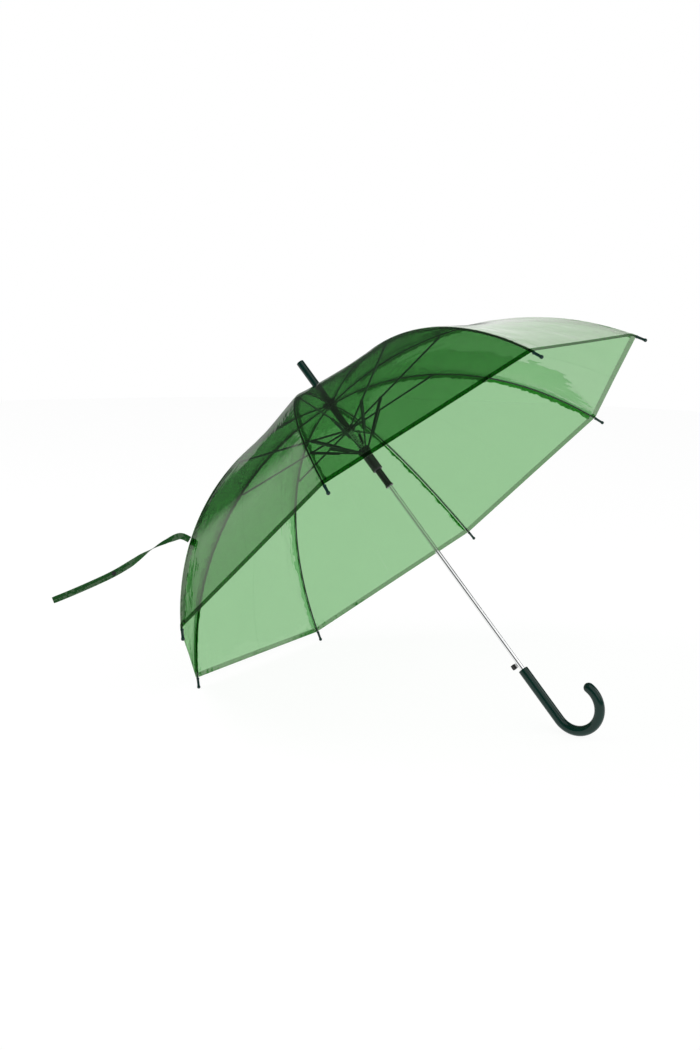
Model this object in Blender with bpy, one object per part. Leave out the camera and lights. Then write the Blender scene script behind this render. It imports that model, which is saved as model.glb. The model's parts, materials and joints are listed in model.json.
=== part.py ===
"""A see-through automatic stick umbrella, open, resting on two rib tips and the bend of its hook.

Everything is modelled upright in the umbrella's own frame: the origin is the centre of the circle
of rib ends, +Z runs up the shaft to the ferrule, and +X is the side that ends uppermost.
The umbrella is then leaned over until two tips and the hook touch the floor.
"""

import math

import bmesh
import bpy
from mathutils import Matrix, Vector

# Driving dimensions, in metres and degrees.
RIB_COUNT = 8
FIRST_RIB_ANGLE = 22.5
SPAN_RADIUS = 0.500
NOTCH_HEIGHT = 0.262
RIB_BOW = 0.155
STRETCHER_SHARE = 0.375
LOWER_RUNNER_HEIGHT = 0.157
STRUT_REACH = 0.070
PIVOT_RADIUS = 0.0085
GAP = 0.0003

SHAFT_RADIUS = 0.0040
SHAFT_WALL = 0.0006
SHAFT_TOP = 0.302
SHAFT_BOTTOM = -0.398
BORE_RADIUS = SHAFT_RADIUS + GAP

RIB_RADIUS = 0.0015
FITTING_HALF_WIDTH = 0.0009
FITTING_HALF_HEIGHT = 0.0015
EYE_RADIUS = 0.0008
WIRE_RADIUS = 0.00045
BRACKET_DROP = 0.0036
PIN_RADIUS = 0.0007
PIN_HOLE_RADIUS = 0.0010

STRETCHER_HALF_WIDTH = 0.0012
STRETCHER_HALF_HEIGHT = 0.0014
FORK_INSIDE = 0.0012
FORK_OUTSIDE = 0.0020
FORK_DEPTH = 0.0070

CHANNEL_START = 0.0380
CHANNEL_INSIDE = 0.0017
CHANNEL_OUTSIDE = 0.0023
CHANNEL_FLOOR = -0.0026
CHANNEL_UNDERSIDE = -0.0032
CHANNEL_TOP = 0.0014

HUB_RADIUS = 0.0120
HUB_RISE = 0.0040
HUB_DROP = 0.0045
SLOT_ROOT = 0.0056
SLOT_HALF_WIDTH = 0.0013
GROOVE_ROOT = 0.0075
GROOVE_HALF_HEIGHT = 0.0009

TIP_LENGTH = 0.020
TIP_RADIUS = 0.0032
TIP_BORE_RADIUS = 0.0020
TIP_BORE_DEPTH = 0.0130

FILM_THICKNESS = 0.0003
FILM_LIFT = 0.0021
FILM_HOLE_RADIUS = 0.006
CROWN_CAP_RADIUS = 0.0130
CROWN_CAP_THICKNESS = 0.0016

FERRULE_RADIUS = 0.0070
FERRULE_TOP = 0.361

SPRING_WIRE_RADIUS = 0.0006
SPRING_COIL_RADIUS = 0.0054
SPRING_TURNS = 8

GRIP_TOP = -0.318
GRIP_RADIUS = 0.00875
HOOK_START = -0.422
HOOK_RADIUS = 0.042
HOOK_TURN = 197.0
GRIP_BORE_BOTTOM = -0.400

BUTTON_HEIGHT = -0.306
BUTTON_SIZE = (0.0070, 0.0080, 0.0090)
BUTTON_FACE = 0.0080
CATCH_WIDTH = 0.0024
CATCH_THICKNESS = 0.0006
CATCH_LENGTH = 0.034
CATCH_OFFSET = 0.0026

STRAP_WIDTH = 0.0105
STRAP_THICKNESS = 0.0008
STRAP_LENGTH = 0.245
STRAP_RIB = 6
STRAP_PLACE = 0.69
STRAP_SLANT = 31.0
# Distance along the strap, its bend down from straight out of the film, and its twist.
STRAP_SHAPE = [
    (0.000, -10, 0),
    (0.008, -4, 0),
    (0.022, 42, 15),
    (0.040, 46, 55),
    (0.068, 52, 95),
    (0.094, 57, 140),
    (0.116, 52, 180),
    (0.160, 45, 180),
    (0.245, 42, 180),
]
STUD_PLACE = 0.139
STUD_RADIUS = 0.0036
STUD_HEIGHT = 0.0016


# Geometry that the sizes above decide.


def rib_arc():
    """Centre, radius, start angle and swept angle of the rib's bow, in its own upright plane."""
    start = Vector((PIVOT_RADIUS, NOTCH_HEIGHT))
    end = Vector((SPAN_RADIUS, 0.0))
    chord = end - start
    bow = RIB_BOW * chord.length
    radius = (chord.length_squared / 4 + bow * bow) / (2 * bow)
    outward = Vector((-chord.y, chord.x)).normalized()
    centre = (start + end) / 2 - outward * (radius - bow)
    first = math.atan2(start.y - centre.y, start.x - centre.x)
    swept = 2 * math.asin(chord.length / 2 / radius)
    return centre, radius, first, swept


ARC_CENTRE, ARC_RADIUS, ARC_START, ARC_SWEPT = rib_arc()
RIB_LENGTH = ARC_RADIUS * ARC_SWEPT
TIP_SHARE = 1 - TIP_LENGTH / RIB_LENGTH


def on_rib(share, lift=0.0):
    """The point this share of the way down the rib, lifted outwards, as (distance from shaft, height)."""
    angle = ARC_START - share * ARC_SWEPT
    return ARC_CENTRE + (ARC_RADIUS + lift) * Vector((math.cos(angle), math.sin(angle)))


def along_rib(share):
    """The rib's direction there, away from the notch."""
    angle = ARC_START - share * ARC_SWEPT
    return Vector((math.sin(angle), -math.cos(angle)))


RIB_PIVOT = Vector((PIVOT_RADIUS, NOTCH_HEIGHT))
BRACKET_PIVOT = on_rib(STRETCHER_SHARE, -BRACKET_DROP)
UPPER_RUNNER_HEIGHT = 2 * BRACKET_PIVOT.y - NOTCH_HEIGHT
UPPER_PIVOT = Vector((PIVOT_RADIUS, UPPER_RUNNER_HEIGHT))
LOWER_PIVOT = Vector((PIVOT_RADIUS, LOWER_RUNNER_HEIGHT))
STRUT_JOINT = UPPER_PIVOT + STRUT_REACH * (BRACKET_PIVOT - UPPER_PIVOT).normalized()
STRETCHER_LENGTH = (BRACKET_PIVOT - UPPER_PIVOT).length
STRUT_LENGTH = (STRUT_JOINT - LOWER_PIVOT).length
FILM_CROWN = NOTCH_HEIGHT + HUB_RISE + GAP
CAP_BASE = FILM_CROWN + FILM_THICKNESS + GAP
FERRULE_BASE = CAP_BASE + CROWN_CAP_THICKNESS + GAP


def lean_angle():
    """How far the shaft leans from the floor when two tips and the hook's bend touch it."""
    half_step = math.pi / RIB_COUNT
    ball = on_rib(TIP_SHARE) + along_rib(1 - TIP_LENGTH / RIB_LENGTH / 2) * (TIP_LENGTH - TIP_RADIUS)
    across = HOOK_RADIUS + ball.x * math.cos(half_step)
    down = -HOOK_START + ball.y
    rise = HOOK_RADIUS + GRIP_RADIUS - TIP_RADIUS
    return math.acos(rise / math.hypot(across, down)) - math.atan2(down, across)


# Tools


def clear_scene():
    for obj in list(bpy.data.objects):
        bpy.data.objects.remove(obj)


def make_material(name, colour, roughness, metallic=0.0, alpha=1.0):
    material = bpy.data.materials.new(name)
    material.use_nodes = True
    shader = material.node_tree.nodes["Principled BSDF"]
    shader.inputs["Base Color"].default_value = (*colour, 1.0)
    shader.inputs["Roughness"].default_value = roughness
    shader.inputs["Metallic"].default_value = metallic
    shader.inputs["Alpha"].default_value = alpha
    return material


def chrome():
    return make_material("chrome_steel", (0.80, 0.81, 0.82), 0.12, 1.0)


def black_steel():
    return make_material("black_enamelled_steel", (0.02, 0.025, 0.022), 0.35, 0.6)


def glass_fibre():
    return make_material("black_glass_fibre", (0.018, 0.020, 0.019), 0.40)


def spring_steel():
    return make_material("spring_steel", (0.45, 0.46, 0.47), 0.30, 1.0)


def black_plastic():
    return make_material("black_plastic", (0.015, 0.016, 0.017), 0.35)


def bottle_green_plastic():
    return make_material("bottle_green_plastic", (0.008, 0.045, 0.035), 0.22)


def green_film():
    return make_material("green_film", (0.28, 0.62, 0.26), 0.10, alpha=0.45)


def finish_mesh(bm, name):
    bmesh.ops.remove_doubles(bm, verts=bm.verts[:], dist=1e-6)
    bmesh.ops.recalc_face_normals(bm, faces=bm.faces[:])
    mesh = bpy.data.meshes.new(name)
    bm.to_mesh(mesh)
    bm.free()
    mesh.shade_smooth()
    mesh.set_sharp_from_angle(angle=math.radians(35))
    return mesh


def add_object(name, mesh, parent, location=(0, 0, 0), tilt=0.0, material=None):
    """A mesh under a parent, turned by the tilt about its own Y axis, which is every hinge's axis."""
    obj = bpy.data.objects.new(name, mesh)
    bpy.context.scene.collection.objects.link(obj)
    obj.parent = parent
    obj.location = location
    obj.rotation_euler = (0.0, tilt, 0.0)
    if material and not mesh.materials:
        mesh.materials.append(material)
    return obj


def add_empty(name, parent=None, location=(0, 0, 0), rotation=(0, 0, 0)):
    empty = bpy.data.objects.new(name, None)
    bpy.context.scene.collection.objects.link(empty)
    empty.parent = parent
    empty.location = location
    empty.rotation_euler = rotation
    return empty


def lathe_mesh(name, profile, sides, closed=True):
    """The profile, a list of (radius, height), turned about Z. An open one starts and ends on the axis."""
    bm = bmesh.new()
    verts = [bm.verts.new((radius, 0.0, height)) for radius, height in profile]
    pairs = list(zip(verts, verts[1:]))
    if closed:
        pairs.append((verts[-1], verts[0]))
    edges = [bm.edges.new(pair) for pair in pairs]
    bmesh.ops.spin(bm, geom=verts + edges, cent=(0, 0, 0), axis=(0, 0, 1), angle=math.tau, steps=sides, use_merge=True)
    return finish_mesh(bm, name)


def sweep_mesh(name, path, radii, sides):
    """A round bar along a path in the XZ plane, with a radius for each point and closed ends."""
    bm = bmesh.new()
    rings = []
    for index, point in enumerate(path):
        before = path[max(index - 1, 0)]
        after = path[min(index + 1, len(path) - 1)]
        along = (after - before).normalized()
        across = Vector((0, 1, 0)).cross(along)
        turn = Matrix((across, Vector((0, 1, 0)), along)).transposed().to_4x4()
        place = Matrix.Translation(point) @ turn
        made = bmesh.ops.create_circle(bm, radius=radii[index], segments=sides, matrix=place)
        loop = {edge for vert in made["verts"] for edge in vert.link_edges}
        rings.append((made["verts"], list(loop)))
    for (_, one), (_, other) in zip(rings, rings[1:]):
        bmesh.ops.bridge_loops(bm, edges=one + other)
    for verts, _ in (rings[0], rings[-1]):
        bmesh.ops.contextual_create(bm, geom=verts)
    return finish_mesh(bm, name)


def box_mesh(name, low, high):
    bm = bmesh.new()
    add_box(bm, low, high)
    return finish_mesh(bm, name)


def add_box(bm, low, high):
    low, high = Vector(low), Vector(high)
    size = high - low
    place = Matrix.Translation((low + high) / 2) @ Matrix.Diagonal((*size, 1.0))
    bmesh.ops.create_cube(bm, size=1.0, matrix=place)


def pin_mesh(name, radius, half_length, sides=8):
    """A plain pin along Y, centred on the origin."""
    bm = bmesh.new()
    place = Matrix.Rotation(math.pi / 2, 4, "X")
    bmesh.ops.create_cone(
        bm, cap_ends=True, segments=sides, radius1=radius, radius2=radius, depth=2 * half_length, matrix=place
    )
    return finish_mesh(bm, name)


def outline_mesh(name, outline, half_height):
    """A flat plate: the outline in the XY plane, given its height along Z."""
    bm = bmesh.new()
    face = bm.faces.new([bm.verts.new((x, y, -half_height)) for x, y in outline])
    made = bmesh.ops.extrude_face_region(bm, geom=[face])
    raised = [item for item in made["geom"] if isinstance(item, bmesh.types.BMVert)]
    bmesh.ops.translate(bm, verts=raised, vec=(0, 0, 2 * half_height))
    return finish_mesh(bm, name)


def combine(name, base, steps):
    """The mesh left when each (operation, mesh, location) is applied to the base in turn."""
    body = add_object(name + "_blank", base, None)
    tools = []
    for operation, mesh, location in steps:
        tool = add_object(f"{name}_tool_{len(tools)}", mesh, None, location)
        tool.hide_render = True
        tool.display_type = "WIRE"
        modifier = body.modifiers.new(operation.lower(), "BOOLEAN")
        modifier.operation = operation
        modifier.object = tool
        tools.append(tool)
    bpy.context.view_layer.update()
    graph = bpy.context.evaluated_depsgraph_get()
    mesh = bpy.data.meshes.new_from_object(body.evaluated_get(graph))
    mesh.name = name
    for obj in (body, *tools):
        bpy.data.objects.remove(obj)
    return mesh


def in_plane(point):
    """A (distance from shaft, height) point of a rib's plane as a 3-D point."""
    return Vector((point.x, 0.0, point.y))


# The shaft and what is fixed on it


def shaft_mesh():
    """The tube, with the slot near the grip that the catch comes out of."""
    inside = SHAFT_RADIUS - SHAFT_WALL
    profile = [
        (SHAFT_RADIUS, SHAFT_TOP),
        (SHAFT_RADIUS, SHAFT_BOTTOM),
        (inside, SHAFT_BOTTOM),
        (inside, SHAFT_TOP),
    ]
    tube = lathe_mesh("shaft_tube", profile, 24)
    slot = box_mesh(
        "shaft_slot",
        (-2 * SHAFT_RADIUS, -CATCH_WIDTH / 2 - 2 * GAP, BUTTON_HEIGHT - 0.0040),
        (-SHAFT_RADIUS / 2, CATCH_WIDTH / 2 + 2 * GAP, BUTTON_HEIGHT + 0.0040),
    )
    return combine("shaft", tube, [("DIFFERENCE", slot, (0, 0, 0))])


def ferrule_mesh():
    """The long spike end: a plain cylinder with a blind bore for the top of the shaft."""
    chamfer = 0.0007
    profile = [
        (0.0, FERRULE_TOP),
        (FERRULE_RADIUS - chamfer, FERRULE_TOP),
        (FERRULE_RADIUS, FERRULE_TOP - chamfer),
        (FERRULE_RADIUS, FERRULE_BASE),
        (BORE_RADIUS, FERRULE_BASE),
        (BORE_RADIUS, SHAFT_TOP + GAP),
        (0.0, SHAFT_TOP + GAP),
    ]
    return lathe_mesh("ferrule", profile, 24, closed=False)


def crown_cap_mesh():
    """The washer that clamps the film's centre onto the notch."""
    profile = [
        (BORE_RADIUS, CAP_BASE),
        (CROWN_CAP_RADIUS, CAP_BASE),
        (CROWN_CAP_RADIUS - 0.0010, CAP_BASE + CROWN_CAP_THICKNESS),
        (BORE_RADIUS, CAP_BASE + CROWN_CAP_THICKNESS),
    ]
    return lathe_mesh("crown_cap", profile, 24)


def hub_profile(height, above=(), below=()):
    """Half section of a hub: a disc with a groove for its wire, and what stands above and below it."""
    return [
        (BORE_RADIUS, above[-1][1] if above else height + HUB_RISE),
        *reversed(above),
        (HUB_RADIUS, height + HUB_RISE),
        (HUB_RADIUS, height + GROOVE_HALF_HEIGHT),
        (GROOVE_ROOT, height + GROOVE_HALF_HEIGHT),
        (GROOVE_ROOT, height - GROOVE_HALF_HEIGHT),
        (HUB_RADIUS, height - GROOVE_HALF_HEIGHT),
        (HUB_RADIUS, height - HUB_DROP),
        *below,
        (BORE_RADIUS, below[-1][1] if below else height - HUB_DROP),
    ]


def slots_mesh(height):
    """The cutter for a hub's slots, one for each rib."""
    bm = bmesh.new()
    for index in range(RIB_COUNT):
        before = len(bm.verts)
        low = (SLOT_ROOT, -SLOT_HALF_WIDTH, height - HUB_DROP - 0.001)
        high = (HUB_RADIUS + 0.001, SLOT_HALF_WIDTH, height + HUB_RISE + 0.001)
        add_box(bm, low, high)
        bm.verts.ensure_lookup_table()
        turn = Matrix.Rotation(math.radians(rib_angle(index)), 3, "Z")
        bmesh.ops.rotate(bm, verts=bm.verts[before:], cent=(0, 0, 0), matrix=turn)
    return finish_mesh(bm, "hub_slots")


def hub_mesh(name, height, above=(), below=()):
    disc = lathe_mesh(name + "_disc", hub_profile(height, above, below), 32)
    return combine(name, disc, [("DIFFERENCE", slots_mesh(height), (0, 0, 0))])


def wire_mesh(name, height):
    """The ring of wire that the eyes of the ribs, stretchers or struts turn on."""
    points = []
    for step in range(5):
        angle = math.tau * step / 5
        points.append((PIVOT_RADIUS + WIRE_RADIUS * math.cos(angle), height + WIRE_RADIUS * math.sin(angle)))
    return lathe_mesh(name, points, 32)


def handle_mesh():
    """The grip and its hook in one piece, with a blind bore for the shaft."""
    path = [Vector((0, 0, GRIP_TOP)), Vector((0, 0, GRIP_TOP - 0.0008)), Vector((0, 0, HOOK_START))]
    radii = [GRIP_RADIUS - 0.0008, GRIP_RADIUS, GRIP_RADIUS]
    centre = Vector((HOOK_RADIUS, 0, HOOK_START))
    steps = 18
    for step in range(1, steps + 1):
        turn = math.radians(HOOK_TURN) * step / steps
        path.append(centre + HOOK_RADIUS * Vector((-math.cos(turn), 0, -math.sin(turn))))
        radii.append(GRIP_RADIUS)
    turn = math.radians(HOOK_TURN)
    along = Vector((math.sin(turn), 0, -math.cos(turn)))
    end = path[-1].copy()
    for step in (1, 2, 3):
        angle = math.radians(30 * step - 4)
        path.append(end + along * GRIP_RADIUS * math.sin(angle))
        radii.append(GRIP_RADIUS * math.cos(angle))
    bar = sweep_mesh("handle_bar", path, radii, 20)
    above = GRIP_TOP + 0.002
    profile = [(0, above), (BORE_RADIUS, above), (BORE_RADIUS, GRIP_BORE_BOTTOM), (0, GRIP_BORE_BOTTOM)]
    bore = lathe_mesh("handle_bore", profile, 16, closed=False)
    return combine("handle", bar, [("DIFFERENCE", bore, (0, 0, 0))])


# What slides on the shaft


def upper_runner_mesh():
    """The hub that the stretchers hang on, with the sleeve that stops it against the notch."""
    sleeve_radius = 0.0060
    top = NOTCH_HEIGHT - HUB_DROP - 3 * GAP
    above = [(sleeve_radius, UPPER_RUNNER_HEIGHT + HUB_RISE), (sleeve_radius, top)]
    return hub_mesh("upper_runner", UPPER_RUNNER_HEIGHT, above=above)


def lower_runner_mesh():
    """The hub that the struts stand on, with its finger sleeve and the flange that the catch holds."""
    collar_radius = 0.0093
    sleeve_radius = 0.0062
    flange_radius = 0.0073
    shoulder = 0.113
    flange = 0.080
    foot = 0.077
    below = [
        (collar_radius, LOWER_RUNNER_HEIGHT - HUB_DROP - 0.0020),
        (collar_radius, shoulder + 0.0012),
        (collar_radius - 0.0012, shoulder),
        (sleeve_radius, shoulder),
        (sleeve_radius, flange + 0.0022),
        (flange_radius, flange),
        (flange_radius, foot),
    ]
    return hub_mesh("lower_runner", LOWER_RUNNER_HEIGHT, below=below)


def spring_curve():
    """The coil between the runners that drives them apart and opens the umbrella."""
    low = LOWER_RUNNER_HEIGHT + HUB_RISE + GAP + SPRING_WIRE_RADIUS
    high = UPPER_RUNNER_HEIGHT - HUB_DROP - GAP - SPRING_WIRE_RADIUS
    curve = bpy.data.curves.new("main_spring", "CURVE")
    curve.dimensions = "3D"
    curve.bevel_depth = SPRING_WIRE_RADIUS
    curve.bevel_resolution = 0
    curve.use_fill_caps = True
    count = SPRING_TURNS * 10 + 1
    spline = curve.splines.new("POLY")
    spline.points.add(count - 1)
    for index, point in enumerate(spline.points):
        share = index / (count - 1)
        angle = math.tau * SPRING_TURNS * share
        height = low + (high - low) * share
        point.co = (SPRING_COIL_RADIUS * math.cos(angle), SPRING_COIL_RADIUS * math.sin(angle), height, 1.0)
    return curve


# One arm of the frame: a rib, its tip, its stretcher and its strut


def rib_mesh():
    """The bowed rod, with a flat eye at the notch and a bracket and rivet for the stretcher.

    Its origin is the pivot at the notch.
    """
    first_share = 0.0070 / RIB_LENGTH
    shares = [first_share + (rib_end_share() - first_share) * step / 16 for step in range(17)]
    path = [in_plane(on_rib(share) - RIB_PIVOT) for share in shares]
    rod = sweep_mesh("rib_rod", path, [RIB_RADIUS] * len(path), 8)
    first = along_rib(0.0)
    eye = box_mesh(
        "rib_eye",
        (-FITTING_HALF_HEIGHT, -FITTING_HALF_WIDTH, -FITTING_HALF_HEIGHT + 0.0002),
        (0.011, FITTING_HALF_WIDTH, FITTING_HALF_HEIGHT - 0.0002),
    )
    eye.transform(Matrix.Rotation(math.atan2(-first.y, first.x), 4, "Y"))
    bracket = in_plane(BRACKET_PIVOT - RIB_PIVOT)
    here = along_rib(STRETCHER_SHARE)
    tab = box_mesh("rib_tab", (-0.0016, -FITTING_HALF_WIDTH, -0.0016), (0.0016, FITTING_HALF_WIDTH, BRACKET_DROP))
    tab.transform(Matrix.Rotation(math.atan2(-here.y, here.x), 4, "Y"))
    rivet = rivet_mesh("rib_rivet", PIN_RADIUS, 0.0014, FORK_OUTSIDE + GAP, 0.0005)
    hole = pin_mesh("rib_eye_hole", EYE_RADIUS, 0.003)
    steps = [
        ("UNION", eye, (0, 0, 0)),
        ("UNION", tab, bracket),
        ("UNION", rivet, bracket),
        ("DIFFERENCE", hole, (0, 0, 0)),
    ]
    return combine("rib", rod, steps)


def rivet_mesh(name, radius, head_radius, head_inside, head_height):
    """A pin along Y with a head at each end."""
    top = head_inside + head_height
    profile = [
        (0, top),
        (head_radius * 0.7, top),
        (head_radius, head_inside + head_height * 0.4),
        (head_radius, head_inside),
        (radius, head_inside),
        (radius, -head_inside),
        (head_radius, -head_inside),
        (head_radius, -head_inside - head_height * 0.4),
        (head_radius * 0.7, -top),
        (0, -top),
    ]
    mesh = lathe_mesh(name, profile, 8, closed=False)
    mesh.transform(Matrix.Rotation(math.pi / 2, 4, "X"))
    return mesh


def rib_end_share():
    return TIP_SHARE + 0.8 * TIP_BORE_DEPTH / RIB_LENGTH


def tip_mesh():
    """The cap on the rib's end, along +Z from its open end, with a round nose."""
    profile = [(TIP_BORE_RADIUS, 0.0), (TIP_RADIUS - 0.0006, 0.0), (TIP_RADIUS - 0.0004, 0.0010)]
    profile += [(TIP_RADIUS, TIP_LENGTH - TIP_RADIUS)]
    for angle in (30, 60):
        turn = math.radians(angle)
        profile.append((TIP_RADIUS * math.cos(turn), TIP_LENGTH - TIP_RADIUS + TIP_RADIUS * math.sin(turn)))
    profile.append((0.0, TIP_LENGTH))
    profile = [(0.0, TIP_BORE_DEPTH), (TIP_BORE_RADIUS, TIP_BORE_DEPTH), *profile[1:]]
    profile.insert(2, (TIP_BORE_RADIUS, 0.0))
    return lathe_mesh("rib_tip", profile, 10, closed=False)


def stretcher_mesh():
    """The bar from the rib's bracket to the upper runner, along +X from its fork to its eye."""
    body_end = STRETCHER_LENGTH - 0.0060
    eye_end = STRETCHER_LENGTH + FITTING_HALF_HEIGHT
    heel = -0.0016
    outline = [
        (heel, FORK_INSIDE),
        (heel, FORK_OUTSIDE),
        (FORK_DEPTH, FORK_OUTSIDE),
        (FORK_DEPTH + 0.003, STRETCHER_HALF_WIDTH),
        (body_end, STRETCHER_HALF_WIDTH),
        (body_end + 0.001, FITTING_HALF_WIDTH),
        (eye_end, FITTING_HALF_WIDTH),
        (eye_end, -FITTING_HALF_WIDTH),
        (body_end + 0.001, -FITTING_HALF_WIDTH),
        (body_end, -STRETCHER_HALF_WIDTH),
        (FORK_DEPTH + 0.003, -STRETCHER_HALF_WIDTH),
        (FORK_DEPTH, -FORK_OUTSIDE),
        (heel, -FORK_OUTSIDE),
        (heel, -FORK_INSIDE),
        (FORK_DEPTH - 0.001, -FORK_INSIDE),
        (FORK_DEPTH - 0.001, FORK_INSIDE),
    ]
    bar = outline_mesh("stretcher_bar", outline, STRETCHER_HALF_HEIGHT)
    steps = [
        ("DIFFERENCE", pin_mesh("stretcher_fork_hole", PIN_HOLE_RADIUS, 0.004), (0, 0, 0)),
        ("DIFFERENCE", pin_mesh("stretcher_eye_hole", EYE_RADIUS, 0.004), (STRETCHER_LENGTH, 0, 0)),
    ]
    return combine("stretcher", bar, steps)


def strut_mesh():
    """The flat bar from the lower runner that turns into a channel, along +X from its eye.

    The channel's open top faces the stretcher, which folds down into it, and its side walls run on
    past the stretcher as a fork.
    """
    far = STRUT_LENGTH + 0.0030
    low = (CHANNEL_START, -CHANNEL_OUTSIDE, CHANNEL_UNDERSIDE)
    outer = box_mesh("strut_outer", low, (far, CHANNEL_OUTSIDE, CHANNEL_TOP))
    low = (CHANNEL_START + 0.0030, -CHANNEL_INSIDE, CHANNEL_FLOOR)
    trough = box_mesh("strut_trough", low, (far + 0.001, CHANNEL_INSIDE, 0.003))
    mouth = box_mesh(
        "strut_mouth", (STRUT_LENGTH - 0.0050, -CHANNEL_INSIDE, -0.005), (far + 0.001, CHANNEL_INSIDE, 0.002)
    )
    eye = box_mesh(
        "strut_eye",
        (-FITTING_HALF_HEIGHT, -FITTING_HALF_WIDTH, -FITTING_HALF_HEIGHT + 0.0002),
        (CHANNEL_START + 0.0010, FITTING_HALF_WIDTH, FITTING_HALF_HEIGHT - 0.0003),
    )
    head = pin_mesh("strut_rivet_head", 0.0015, 0.0004)
    head_place = CHANNEL_OUTSIDE + 0.0001
    steps = [
        ("DIFFERENCE", trough, (0, 0, 0)),
        ("DIFFERENCE", mouth, (0, 0, 0)),
        ("UNION", eye, (0, 0, 0)),
        ("UNION", head, (STRUT_LENGTH, head_place, -0.0003)),
        ("UNION", head, (STRUT_LENGTH, -head_place, -0.0003)),
        ("DIFFERENCE", pin_mesh("strut_eye_hole", EYE_RADIUS, 0.003), (0, 0, 0)),
    ]
    return combine("strut", outer, steps)


def petal_mesh():
    """The film over one rib, out to the middle of the panel on each side, with its origin at the pivot.

    The film is straight from rib to rib, so a petal is folded once, along its rib.
    """
    half_step = math.pi / RIB_COUNT
    crown = [Vector((FILM_HOLE_RADIUS, FILM_CROWN)), Vector((CROWN_CAP_RADIUS, FILM_CROWN))]
    shares = [0.035 + (TIP_SHARE - GAP / RIB_LENGTH - 0.035) * step / 14 for step in range(15)]
    ridge = crown + [on_rib(share, FILM_LIFT) for share in shares]
    bm = bmesh.new()
    bmesh.ops.create_grid(bm, x_segments=2, y_segments=len(ridge) - 1, size=1.0)
    for vert in bm.verts:
        side = round(vert.co.x)
        row = round((vert.co.y + 1) / 2 * (len(ridge) - 1))
        point = ridge[row]
        half_panel = point.x * math.sin(half_step)
        across = side * (half_panel - GAP)
        vert.co = (
            point.x - abs(across) * math.sin(half_step) - RIB_PIVOT.x,
            across * math.cos(half_step),
            point.y - RIB_PIVOT.y,
        )
    bmesh.ops.recalc_face_normals(bm, faces=bm.faces[:])
    if sum((face.normal.z for face in bm.faces), 0.0) < 0:
        bmesh.ops.reverse_faces(bm, faces=bm.faces[:])
    mesh = bpy.data.meshes.new("canopy_petal")
    bm.to_mesh(mesh)
    bm.free()
    return mesh


def add_petal(name, mesh, parent, location, material):
    petal = add_object(name, mesh, parent, location, material=material)
    skin = petal.modifiers.new("thickness", "SOLIDIFY")
    skin.thickness = FILM_THICKNESS
    skin.offset = 1.0
    skin.use_even_offset = True
    return petal


def rib_angle(index):
    return FIRST_RIB_ANGLE + index * 360.0 / RIB_COUNT


def add_arms(umbrella, materials):
    """Every rib with its tip, film, stretcher and strut, each about its own pivot."""
    rod, steel, plastic, film = materials
    meshes = [rib_mesh(), tip_mesh(), petal_mesh(), stretcher_mesh(), strut_mesh()]
    tip_along = along_rib(1 - TIP_LENGTH / RIB_LENGTH / 2)
    inward = UPPER_PIVOT - BRACKET_PIVOT
    outward = STRUT_JOINT - LOWER_PIVOT
    for index in range(RIB_COUNT):
        label = index + 1
        turn = (0, 0, math.radians(rib_angle(index)))
        plane = add_empty(f"rib_plane_{label}", umbrella, rotation=turn)
        pivot = in_plane(RIB_PIVOT)
        add_object(f"rib_{label}", meshes[0], plane, pivot, material=rod)
        tip_tilt = math.atan2(tip_along.x, tip_along.y)
        add_object(f"rib_tip_{label}", meshes[1], plane, in_plane(on_rib(TIP_SHARE)), tip_tilt, plastic)
        add_petal(f"canopy_petal_{label}", meshes[2], plane, pivot, film)
        tilt = math.atan2(-inward.y, inward.x)
        add_object(f"stretcher_{label}", meshes[3], plane, in_plane(BRACKET_PIVOT), tilt, steel)
        tilt = math.atan2(-outward.y, outward.x)
        add_object(f"strut_{label}", meshes[4], plane, in_plane(LOWER_PIVOT), tilt, steel)


# The catch and its button


def catch_mesh():
    """The leaf inside the shaft with the neck that carries the button out through the slot."""
    half = CATCH_WIDTH / 2
    leaf = box_mesh(
        "catch_leaf",
        (-CATCH_OFFSET, -half, BUTTON_HEIGHT - CATCH_LENGTH),
        (-CATCH_OFFSET + CATCH_THICKNESS, half, BUTTON_HEIGHT + 0.0060),
    )
    neck = box_mesh(
        "catch_neck",
        (-BUTTON_FACE + GAP, -half, BUTTON_HEIGHT - 0.0030),
        (-CATCH_OFFSET + CATCH_THICKNESS / 2, half, BUTTON_HEIGHT + 0.0030),
    )
    return combine("catch_spring", leaf, [("UNION", neck, (0, 0, 0))])


def add_button(name, parent, material):
    depth, width, height = BUTTON_SIZE
    mesh = box_mesh(
        "push_button",
        (-BUTTON_FACE - depth, -width / 2, BUTTON_HEIGHT - height / 2),
        (-BUTTON_FACE, width / 2, BUTTON_HEIGHT + height / 2),
    )
    button = add_object(name, mesh, parent, material=material)
    rounding = button.modifiers.new("rounding", "BEVEL")
    rounding.width = 0.0012
    rounding.segments = 2
    return button


# The tie strap


def strap_shape(distance):
    """The strap's bend and twist, in radians, this far along it."""
    for (start, bend, twist), (end, next_bend, next_twist) in zip(STRAP_SHAPE, STRAP_SHAPE[1:]):
        if distance <= end + 1e-9:
            share = (distance - start) / (end - start)
            return math.radians(bend + (next_bend - bend) * share), math.radians(twist + (next_twist - twist) * share)
    return math.radians(STRAP_SHAPE[-1][1]), math.radians(STRAP_SHAPE[-1][2])


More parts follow.
